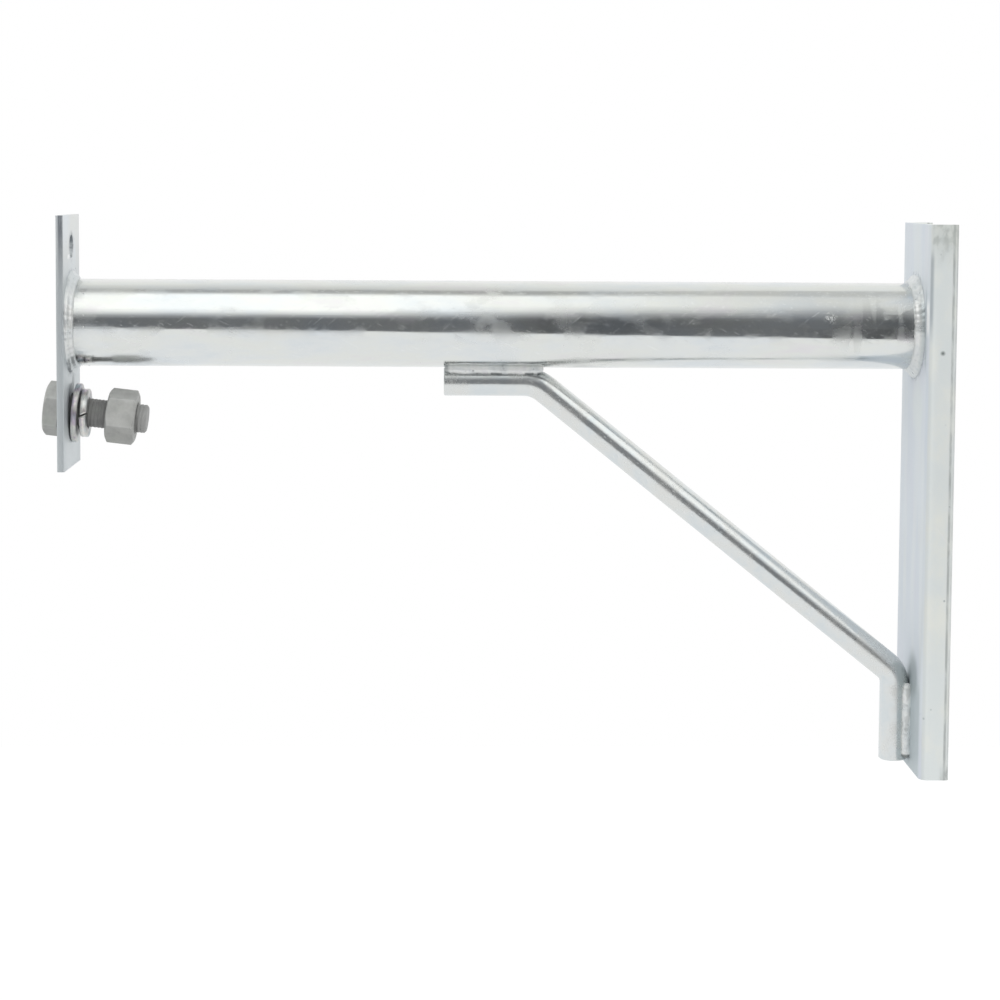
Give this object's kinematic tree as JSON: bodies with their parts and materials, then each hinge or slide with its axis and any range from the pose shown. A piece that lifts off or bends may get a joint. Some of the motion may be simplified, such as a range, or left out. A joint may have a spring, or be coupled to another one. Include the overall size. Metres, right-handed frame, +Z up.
{
  "type": "fibre optic extension arm",
  "caption": "Welded arm that holds a cable fitting out from a pole: round tube between an end plate and a shallow channel, with a bent round-bar brace and a loose bolt set.",
  "frame": {"origin": "on the tube's axis, in the plane of the channel's two tips, where the pole stands", "axes": "+X out of the arm's back towards the pole, so the arm reaches along -X; +Z up along the pole; +Y across"},
  "size_m": [0.5028, 0.075, 0.309],
  "materials": {
    "bright_zinc_tube": "bright zinc plate, scratched",
    "bright_zinc_plate": "bright zinc plate, satin",
    "bright_zinc_rod": "bright zinc plate over drawn bar",
    "weld_bead": "zinc plate over a rippled bead",
    "dull_galvanised": "dull hot-dip zinc",
    "bright_zinc_washer": "bright zinc plate with a faint iridescence"
  },
  "bodies": {
    "root": {"arm_tube": "bright_zinc_tube", "end_plate": "bright_zinc_plate", "pole_channel": "bright_zinc_plate", "brace_rod": "bright_zinc_rod", "plate_weld": "weld_bead", "channel_weld": "weld_bead", "tube_seam_front": "weld_bead", "tube_seam_back": "weld_bead", "channel_seam_front": "weld_bead", "channel_seam_back": "weld_bead", "hex_bolt": "dull_galvanised", "hex_nut": "dull_galvanised", "flat_washer": "bright_zinc_washer", "spring_washer": "bright_zinc_washer"}
  },
  "joints": []
}
